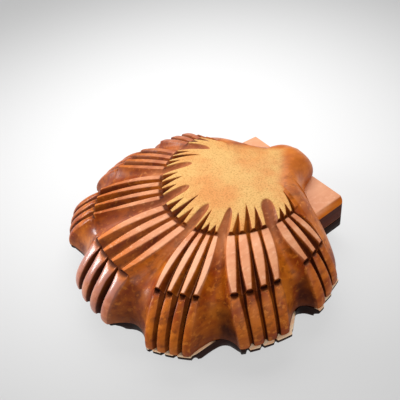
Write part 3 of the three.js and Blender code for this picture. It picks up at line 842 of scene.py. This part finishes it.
def as_piece(name, parts, node):
    """One object from several closed skins, riding on the root body in place of its CAD node."""
    mesh = bpy.data.meshes.new(name)
    whole = bmesh.new()
    for part in parts:
        scrap = bpy.data.meshes.new("scrap")
        part.to_mesh(scrap)
        part.free()
        whole.from_mesh(scrap)
        bpy.data.meshes.remove(scrap)
    whole.to_mesh(mesh)
    whole.free()
    piece = bpy.data.objects.new(name, mesh)
    bpy.context.scene.collection.objects.link(piece)
    for face in mesh.polygons:
        face.use_smooth = True
    mesh.set_sharp_from_angle(angle=math.radians(SHARP_ANGLE))
    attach(piece, "root")
    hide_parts(node)
    return piece


def lid_ear_shading(height):
    """The lid's ears: painted highlight on the tops, painted shade on the upright sides, lighter along the
    lower edge.
    """
    side = 1 - smooth(EAR_MARKS[0], EAR_MARKS[1], height)
    above_foot = smooth(EAR_MARKS[3], EAR_MARKS[2], height)
    pale = smooth(EAR_TOP - 0.9, EAR_TOP - 0.4, height)
    return side * (0.5 + 0.5 * above_foot), 0, pale, 1


def make_lid():
    crown = [0, FAN_Y, CROWN, 0, 1, 0]
    ceiling = [0, FAN_Y, LID_HOLLOW_HEIGHT + LID_HOLLOW_CROWN, INSIDE_STAIN, 0, 0]
    strands = [[crown] + rows + lid_inside(rows[-1]) + [ceiling] for rows in lid_strands()]
    shell = wrap_grid(strands)
    ears = ear_block(EAR_TOP, 0, EAR_CHAMFER, EAR_MARKS, lid_ear_shading)
    return as_piece("carved_lid", [shell, ears], "lid")


# ---------------------------------------------------------------- tray
def along_table(table, place):
    """Values of a table at a place between its rows."""
    for low, high in zip(table, table[1:]):
        if place <= high[0]:
            t = clamp01((place - low[0]) / (high[0] - low[0]))
            return [lerp(a, b, t) for a, b in zip(low[1:], high[1:])]
    return list(table[-1][1:])


def tray_rim():
    """The tray's rim along the fan: bearing, radius, how upright, how pale, and kind of strand."""
    rim = []
    for line in fan_strands():
        rib = line.rib
        bearing = line.bearing(SKIRT, 1)
        half_width = RIBS[rib][PITCH][3] * finger_count(rib) / 2
        across = (bearing - RIBS[rib][MIDDLE][3]) / half_width
        if line.kind == "valley":
            turn = TRAY_WIDENING[rib] * (1 - line.place) ** 1.5
            stand = rib + 0.3 + 0.4 * line.place
        else:
            outwards = TRAY_WIDENING[rib] * smooth(0.6, 1, across)
            turn = outwards - TRAY_GROOVE_TURN * (1 - smooth(0.55, 0.95, abs(across)))
            stand = rib + 0.3 * across
        # How pale the ledge is: painted highlight where it is lit, less in the grooves.
        proud, upright, pale = along_table(TRAY_EDGE, stand)
        if line.kind == "groove":
            pale = pale * (1 - smooth(0.35, 0.6, line.hollow))
        depth = {"back": 0, "groove": TRAY_GROOVE_RECESS, "valley": VALLEY_RECESS}[line.kind]
        radius = fan_radius(bearing + turn, line.reach + proud - depth * line.hollow)
        rim.append([bearing + turn, radius, upright, pale, line.kind])
    return rim


def ease_valleys(rim):
    """Round the tray's rim where it turns into a valley and out of it."""
    for _ in range(TRAY_EASING):
        radii = [point[1] for point in rim]
        for k in range(1, len(rim) - 1):
            if "valley" in (rim[k][4], rim[k - 1][4], rim[k + 1][4], rim[max(k - 2, 0)][4]):
                rim[k][1] = (radii[k - 1] + radii[k] + radii[k + 1]) / 3


def tray_outline():
    """Rim points of the tray, anticlockwise, with how upright its side and how pale its ledge is."""
    rim = tray_rim()
    ease_valleys(rim)
    points = []
    for bearing, radius, upright, pale, kind in rim:
        x, y = from_fan(bearing, radius)
        points.append((x, y, upright, pale))
    stop = EAR_BACK[0] - EAR_CORNER
    for side, places in ((1, SMOOTH_PLACES), (-1, SMOOTH_PLACES[-2::-1])):
        for place in places:
            x, y = outline_point(place)
            points.append((side * x, min(y, stop), 0, 0.5))
    return points


def tray_side(x, y, upright, pale):
    """Rows from the middle of the underside out and up to the rim."""
    under = -PARTING_GAP - TRAY_HEIGHT
    reach = math.hypot(x, y - TRAY_MIDDLE)
    foot = 1 - TRAY_UNDERCUT / reach
    rows = [[0, TRAY_MIDDLE, under, 1, 0, 0]]
    for share in (0.3, 0.6, 0.85, 0.97):
        rows.append([x * foot * share, TRAY_MIDDLE + (y - TRAY_MIDDLE) * foot * share, under, 1, 0, 0])
    for down, curl in TRAY_PROFILE:
        curled = curl * (1 - upright * (1 - smooth(TRAY_SIDE[0], TRAY_SIDE[1], down)))
        share = 1 - TRAY_UNDERCUT * curled / reach
        # The side carries the near-black painted shade, the ledge its painted highlight.
        ledge = pale if down < 0.4 else 0
        z = -PARTING_GAP - down
        rows.append([x * share, TRAY_MIDDLE + (y - TRAY_MIDDLE) * share, z, 1, 0, ledge])
    return rows


def tray_inside(x, y, pale):
    """Rows from the rim over the ledge and the lip and down to the middle of the floor."""
    bearing = bearing_of(x, y)
    floor = -PARTING_GAP - TRAY_HEIGHT + TRAY_FLOOR
    outer = hollow_radius(bearing, LIP_CLEARANCE)
    wall = hollow_radius(bearing, LIP_WIDTH + LIP_CLEARANCE)
    lip_x, lip_y = from_fan(bearing, outer)
    rows = []
    for place in (0.02, 0.5, 0.98):
        rows.append([lerp(x, lip_x, place), lerp(y, lip_y, place), -PARTING_GAP, 1, 0, pale])
    section = [(outer, -PARTING_GAP + 0.1), (outer, LIP_HEIGHT - LIP_ROUND)]
    section += [(lerp(outer, wall, place), LIP_HEIGHT) for place in (0.15, 0.85)]
    section += [(wall, LIP_HEIGHT - LIP_ROUND)]
    section += [(wall * share, floor + height) for share, height in TRAY_INSIDE]
    for radius, z in section:
        rows.append(row_at(bearing, radius, z, INSIDE_STAIN, 0, 0))
    rows.append([0, FAN_Y, floor, INSIDE_STAIN, 0, 0])
    return rows


def make_tray():
    strands = []
    for x, y, upright, pale in tray_outline():
        strands.append(tray_side(x, y, upright, pale) + tray_inside(x, y, pale))
    shell = wrap_grid(strands)
    # The tray's ear block is all near-black painted shade.
    ears = ear_block(-PARTING_GAP, -PARTING_GAP - TRAY_EAR_HEIGHT, 0, (), lambda height: (1, 0, 0, 1))
    return as_piece("carved_tray", [shell, ears], "tray")


# ---------------------------------------------------------------- finishes
class Level:
    """A number that varies over a surface; arithmetic on it becomes Math nodes."""

    def __init__(self, finish, socket):
        self.finish = finish
        self.socket = socket

    def reckon(self, operation, first, second):
        node = self.finish.add("ShaderNodeMath", {"operation": operation}, {0: first, 1: second})
        return Level(self.finish, node.outputs[0])

    def __add__(self, other):
        return self.reckon("ADD", self, other)

    def __radd__(self, other):
        return self.reckon("ADD", other, self)

    def __sub__(self, other):
        return self.reckon("SUBTRACT", self, other)

    def __rsub__(self, other):
        return self.reckon("SUBTRACT", other, self)

    def __mul__(self, other):
        return self.reckon("MULTIPLY", self, other)

    def __rmul__(self, other):
        return self.reckon("MULTIPLY", other, self)

    def within(self, low, high):
        """0 below low, 1 above high, eased between."""
        node = self.finish.add(
            "ShaderNodeMapRange",
            {"interpolation_type": "SMOOTHSTEP"},
            {"Value": self, "From Min": low, "From Max": high},
        )
        return Level(self.finish, node.outputs["Result"])


class Finish:
    """A finish built from nodes."""

    def __init__(self, name):
        self.material = bpy.data.materials.new(name)
        self.material.use_nodes = True
        self.nodes = self.material.node_tree.nodes
        self.links = self.material.node_tree.links
        self.shader = self.nodes["Principled BSDF"]
        self.place = self.add("ShaderNodeTexCoord").outputs["Object"]

    def feed(self, socket, value):
        if isinstance(value, Level):
            self.links.new(value.socket, socket)
        elif isinstance(value, bpy.types.NodeSocket):
            self.links.new(value, socket)
        else:
            socket.default_value = value

    def add(self, kind, settings=None, inputs=None):
        node = self.nodes.new(kind)
        for key, value in (settings or {}).items():
            setattr(node, key, value)
        for key, value in (inputs or {}).items():
            self.feed(node.inputs[key], value)
        return node

    def stain(self, first, second, amount):
        """One colour going over into another."""
        node = self.add("ShaderNodeMix", {"data_type": "RGBA"}, {0: amount, 6: first, 7: second})
        return node.outputs[2]

    def noise(self, size, stretch, detail, rough, seed=0.0):
        """Wood figure of a given size in millimetres, longer along the grain."""
        scale = 1000 / size
        turned = self.add(
            "ShaderNodeMapping",
            {"vector_type": "POINT"},
            {"Vector": self.place, "Location": (seed, seed * 1.7, seed * 0.3),
             "Scale": (scale, scale / stretch, scale)},
        )
        node = self.add(
            "ShaderNodeTexNoise",
            {"noise_dimensions": "3D"},
            {"Vector": turned.outputs[0], "Scale": 1.0, "Detail": detail, "Roughness": rough},
        )
        return Level(self, node.outputs[0])

    def distance(self, place, spot):
        """How far a place lies from a spot, in metres."""
        off = self.add("ShaderNodeVectorMath", {"operation": "SUBTRACT"}, {0: place, 1: spot})
        length = self.add("ShaderNodeVectorMath", {"operation": "LENGTH"}, {0: off.outputs[0]})
        return Level(self, length.outputs["Value"])

    def carved(self):
        """How dark the mark lies, mostly painted shade, where the crown is gold, and where tops carry painted
        highlight.
        """
        layer = self.add("ShaderNodeAttribute", {"attribute_name": "carved"})
        parts = self.add("ShaderNodeSeparateColor", None, {0: layer.outputs["Color"]})
        return [Level(self, parts.outputs[k]) for k in range(3)]

    def relief(self, height):
        """Fine grain that can be felt."""
        bump = self.add("ShaderNodeBump", None, {"Strength": 0.2, "Distance": 0.0003, "Height": height})
        self.feed(self.shader.inputs["Normal"], bump.outputs[0])


def srgb(red, green, blue):
    """A colour given in 0 to 255, as the shader's linear values."""
    return tuple((v / 255) ** 2.2 for v in (red, green, blue)) + (1.0,)


# The lid's body wood, with its grain, mottle and bright flecks, and painted shade on its far left side.
TAWNY, RUSSET = srgb(204, 106, 24), srgb(150, 62, 12)
BROWN_GRAIN = srgb(96, 38, 10)
BRIGHT_TAWNY = srgb(220, 124, 34)
DARK_MOTTLE = srgb(88, 34, 8)
ORANGE_FLECK = srgb(226, 130, 44)
LEFT_SIDE_SHADE = srgb(124, 58, 40)
# Painted highlight on the finger tops.
PEACH, ROSY_TAN = srgb(240, 170, 128), srgb(216, 134, 90)
ORANGE = srgb(228, 122, 44)
MAUVE = srgb(178, 108, 92)
TAN_GRAIN = srgb(176, 88, 40)
PEACH_FLECK = srgb(250, 196, 160)
FAIREST = srgb(255, 204, 170)
FAIR_EAR = srgb(248, 180, 138)
# The crown's gold and its pores, the beak's amber, the painted shade in the carving, and the painted sheen.
STRAW, APRICOT = srgb(230, 180, 108), srgb(224, 152, 86)
PORE_BROWN = srgb(166, 102, 40)
AMBER, DEEP_AMBER = srgb(226, 124, 30), srgb(190, 92, 18)
SHADE_UMBER, DEEP_SHADE_UMBER = srgb(84, 34, 10), srgb(46, 16, 4)
SKIRT_SHEEN = srgb(182, 122, 110)
VALLEY_SHEEN = srgb(196, 132, 118)
# The tray's sides, near-black as painted shade, its ledge, cream as painted highlight, and its plain inside.
SHADE_BLACK, DEEP_SHADE_BLACK = srgb(46, 20, 9), srgb(22, 10, 5)
CREAM, DEEP_CREAM = srgb(255, 226, 190), srgb(255, 196, 148)
PLAIN_WOOD, DEEP_WOOD = srgb(176, 92, 36), srgb(146, 68, 24)
# The floor, and the white that it gives off: painted light, brightest at one spot and fading away from it.
GREY, DEEP_GREY = (0.25, 0.25, 0.25, 1), (0.12, 0.12, 0.12, 1)
GLOW, DEEP_GLOW = (0.98, 0.98, 0.98, 1), (0.42, 0.42, 0.42, 1)

# Places in the frame's metres: the polished skirt of the front rib, and the faint painted sheen in the
# valleys beside it, each with its radius and strength.
PLAN_CENTRE = (PLAN_SHIFT[0] * MM, PLAN_SHIFT[1] * MM, 0)
POLISHED_SKIRT = (-0.004, -0.083, 0.035)
VALLEY_SHEENS = (((-0.026, -0.054, 0.037), 0.03, 0.5), ((0.037, -0.062, 0.033), 0.026, 0.4))


class LidWood(Finish):
    """The lid's wood: its figure, its carved marks and the places that its finishes share."""

    def __init__(self):
        super().__init__("lid_wood")
        self.dark, self.gold, self.top = self.carved()
        self.bands = self.noise(14, 3, 3, 0.55)
        self.streaks = self.noise(2.2, 7, 4, 0.65, 3.1)
        self.pores = self.noise(1.15, 1.2, 2, 0.75, 7.7)
        self.mottle = self.noise(5.5, 1.6, 3, 0.6, 4.4)
        self.patches = self.noise(24, 1, 3, 0.55, 1.3)
        self.flecks = self.noise(3.0, 1.4, 2, 0.5, 9.2)
        axes = self.add("ShaderNodeSeparateXYZ", None, {0: self.place})
        self.x, self.y, self.z = [Level(self, axes.outputs[axis]) for axis in "XYZ"]

    def body(self):
        far_left = (1 - self.x.within(-0.09, -0.05)) * (1 - self.y.within(0.04, 0.06))
        body = self.stain(TAWNY, RUSSET, self.bands.within(0.34, 0.66))
        body = self.stain(body, BROWN_GRAIN, self.streaks.within(0.5, 0.8) * 0.5)
        body = self.stain(body, BRIGHT_TAWNY, self.patches.within(0.5, 0.72) * 0.6)
        body = self.stain(body, DARK_MOTTLE, self.mottle.within(0.48, 0.72) * 0.58)
        body = self.stain(body, ORANGE_FLECK, self.flecks.within(0.56, 0.7) * 0.6)
        # Painted shade over the far left side.
        return self.stain(body, LEFT_SIDE_SHADE, far_left * 0.45)

    def highlighted_tops(self):
        """Painted highlight on the tops: orange at the outer ends of the left fingers, mauve at the back
        left.
        """
        level = self.add("ShaderNodeVectorMath", {"operation": "MULTIPLY"}, {0: self.place, 1: (1, 1, 0)})
        outer = self.distance(level.outputs[0], PLAN_CENTRE).within(0.064, 0.088)
        outer = outer * (1 - self.x.within(0.024, 0.034)) * (1 - self.y.within(-0.01, 0.02))
        back_left = self.y.within(0.0, 0.03) * (1 - self.x.within(-0.07, -0.04))
        front_right = self.x.within(0.026, 0.034) * (1 - self.y.within(-0.034, -0.018))
        tops = self.stain(PEACH, ROSY_TAN, self.bands.within(0.3, 0.7))
        tops = self.stain(tops, ORANGE, outer * 0.85)
        tops = self.stain(tops, MAUVE, back_left * 0.7)
        tops = self.stain(tops, TAN_GRAIN, self.streaks.within(0.5, 0.8) * 0.35)
        tops = self.stain(tops, PEACH_FLECK, self.flecks.within(0.55, 0.72) * 0.4)
        tops = self.stain(tops, FAIREST, front_right * 0.36)
        return self.stain(tops, FAIR_EAR, self.y.within(0.05, 0.06) * 0.45)

    def crown(self):
        crown = self.stain(STRAW, APRICOT, self.patches.within(0.35, 0.7))
        return self.stain(crown, PORE_BROWN, self.pores.within(0.44, 0.7) * 0.5)

    def polish(self):
        """1 on the front rib's polished skirt."""
        near = 1 - self.distance(self.place, POLISHED_SKIRT).within(0.028, 0.052)
        return near * (1 - self.z.within(0.05, 0.055))

    def sheen(self, colour, polish):
        """Painted sheen: a mauve bloom on the polished skirt, and a haze in the valleys beside it."""
        highlight = self.top.within(0.1, 0.4)
        skirt_sheen = polish * highlight * (0.85 - self.mottle.within(0.45, 0.65) * 0.35)
        colour = self.stain(colour, SKIRT_SHEEN, skirt_sheen)
        for spot, size, strength in VALLEY_SHEENS:
            valley_sheen = (1 - self.distance(self.place, spot).within(0.006, size)) * (1 - highlight)
            colour = self.stain(colour, VALLEY_SHEEN, valley_sheen * strength)
        return colour


def lid_wood():
    wood = LidWood()
    polish = wood.polish()
    figure = wood.bands.within(0.3, 0.7)
    beak = wood.y.within(0.055, 0.085) * (1 - wood.top)
    # Painted highlight on the tops, then painted sheen, the beak's amber, the crown's gold and painted shade
    # in the carving.
    colour = wood.stain(wood.body(), wood.highlighted_tops(), wood.top)
    colour = wood.sheen(colour, polish)
    colour = wood.stain(colour, wood.stain(AMBER, DEEP_AMBER, figure), beak * 0.85)
    colour = wood.stain(colour, wood.crown(), wood.gold)
    colour = wood.stain(colour, wood.stain(SHADE_UMBER, DEEP_SHADE_UMBER, figure), wood.dark)
    rough = 0.3 + wood.streaks.within(0.3, 0.8) * 0.14 + wood.dark * 0.3 + wood.gold * 0.12
    wood.feed(wood.shader.inputs["Base Color"], colour)
    wood.feed(wood.shader.inputs["Roughness"], rough)
    wood.relief(wood.pores * 0.3 + wood.streaks * 0.7)
    wood.feed(wood.shader.inputs["Coat Weight"], 0.03 + polish * 0.87 * (1 - wood.dark))
    wood.shader.inputs["Coat Roughness"].default_value = 0.2
    wood.shader.inputs["Specular IOR Level"].default_value = 0.13
    return wood.material


def tray_wood():
    wood = Finish("tray_wood")
    dark, _, top = wood.carved()
    bands = wood.noise(16, 4, 3, 0.5)
    streaks = wood.noise(2.2, 9, 4, 0.6, 5.3)
    side = wood.stain(SHADE_BLACK, DEEP_SHADE_BLACK, bands.within(0.3, 0.7))
    ledge = wood.stain(CREAM, DEEP_CREAM, streaks.within(0.35, 0.7))
    inside = wood.stain(PLAIN_WOOD, DEEP_WOOD, bands.within(0.35, 0.65))
    # Painted shade turns the sides near-black, and painted highlight turns the lit ledge cream.
    colour = wood.stain(inside, side, dark.within(0.5, 0.9))
    colour = wood.stain(colour, ledge, top)
    wood.feed(wood.shader.inputs["Base Color"], colour)
    wood.feed(wood.shader.inputs["Roughness"], 0.45 + streaks.within(0.3, 0.8) * 0.15)
    wood.relief(streaks)
    wood.shader.inputs["Specular IOR Level"].default_value = 0.05
    return wood.material


# ---------------------------------------------------------------- floor, light and camera
FLOOR_SIZE = 9.0
BRIGHTEST_FLOOR = (-0.127, 0.08, 0)
STUDIO_LIGHT = 0.27
# Lamps: bearing, height in degrees, distance, size and power.
LAMPS = {
    "high_back_left": (237, 52, 1.3, (1.5, 1.1), 15),
    "front_left": (-47, 19, 1.2, (0.55, 0.35), 12),
    "right_fill": (95, 48, 1.5, (1.2, 1.2), 6.5),
}
LAMP_AIM = Vector((0, 0, 0.04))
# The camera: what it looks at in the shell's plan, its bearing, height and roll in degrees, its
# distance in metres, and its lens.
CAMERA_AIM = (6.184, 8.683, 20)
CAMERA_BEARING = 57.572
CAMERA_HEIGHT = 45.076
CAMERA_ROLL = -5.928
CAMERA_DISTANCE = 0.468466
SENSOR = 36
LENS = 52.0452
LENS_SHIFT = (-0.0663325, 0.02613)


def direction(bearing, height):
    """The way from the object towards a bearing and height in degrees."""
    turn = math.radians(bearing)
    rise = math.radians(height)
    return Vector((math.sin(turn) * math.cos(rise), -math.cos(turn) * math.cos(rise), math.sin(rise)))


def make_floor():
    bm = bmesh.new()
    bmesh.ops.create_grid(bm, x_segments=40, y_segments=40, size=FLOOR_SIZE)
    mesh = bpy.data.meshes.new("floor")
    bm.to_mesh(mesh)
    bm.free()
    floor = bpy.data.objects.new("floor", mesh)
    bpy.context.scene.collection.objects.link(floor)
    pale = Finish("pale_floor")
    # Painted light: the floor glows and is paler near one spot, fading away from it, which also lifts the
    # object's shadow.
    fade = pale.distance(pale.place, BRIGHTEST_FLOOR).within(0.03, 0.5)
    pale.feed(pale.shader.inputs["Base Color"], pale.stain(GREY, DEEP_GREY, fade))
    pale.feed(pale.shader.inputs["Emission Color"], pale.stain(GLOW, DEEP_GLOW, fade))
    pale.shader.inputs["Roughness"].default_value = 0.8
    pale.shader.inputs["Specular IOR Level"].default_value = 0.1
    pale.shader.inputs["Emission Strength"].default_value = 0.75
    mesh.materials.append(pale.material)


def area_light(name, bearing, height, distance, size, power):
    """A soft box that looks at the object."""
    light = bpy.data.lights.new(name, "AREA")
    light.shape = "RECTANGLE"
    light.size = size[0]
    light.size_y = size[1]
    light.energy = power
    lamp = bpy.data.objects.new(name, light)
    bpy.context.scene.collection.objects.link(lamp)
    back = direction(bearing, height)
    lamp.location = LAMP_AIM + back * distance
    lamp.rotation_euler = back.to_track_quat("Z", "Y").to_euler()


def make_light():
    world = bpy.data.worlds.new("studio")
    bpy.context.scene.world = world
    world.use_nodes = True
    background = world.node_tree.nodes["Background"]
    background.inputs[0].default_value = (1.0, 1.0, 1.0, 1)
    background.inputs[1].default_value = STUDIO_LIGHT
    for name, settings in LAMPS.items():
        area_light(name, *settings)


def make_camera():
    back = direction(CAMERA_BEARING, CAMERA_HEIGHT)
    roll = math.radians(CAMERA_ROLL)
    right = (-back).cross(Vector((0, 0, 1))).normalized()
    up = right.cross(-back)
    turned_right = right * math.cos(roll) + up * math.sin(roll)
    turned_up = up * math.cos(roll) - right * math.sin(roll)
    data = bpy.data.cameras.new("camera")
    data.sensor_width = SENSOR
    data.lens = LENS
    data.shift_x = LENS_SHIFT[0]
    data.shift_y = LENS_SHIFT[1]
    data.clip_start = 0.01
    camera = bpy.data.objects.new("camera", data)
    bpy.context.scene.collection.objects.link(camera)
    turned = Matrix((turned_right, turned_up, back)).transposed().to_4x4()
    eye = to_frame(*CAMERA_AIM) + back * CAMERA_DISTANCE
    camera.matrix_world = Matrix.Translation(eye) @ turned
    bpy.context.scene.camera = camera


lid = make_lid()
lid.data.materials.append(lid_wood())
tray = make_tray()
tray.data.materials.append(tray_wood())
make_floor()
make_light()
make_camera()
view = bpy.context.scene.view_settings
view.view_transform = "Standard"
view.look = "None"
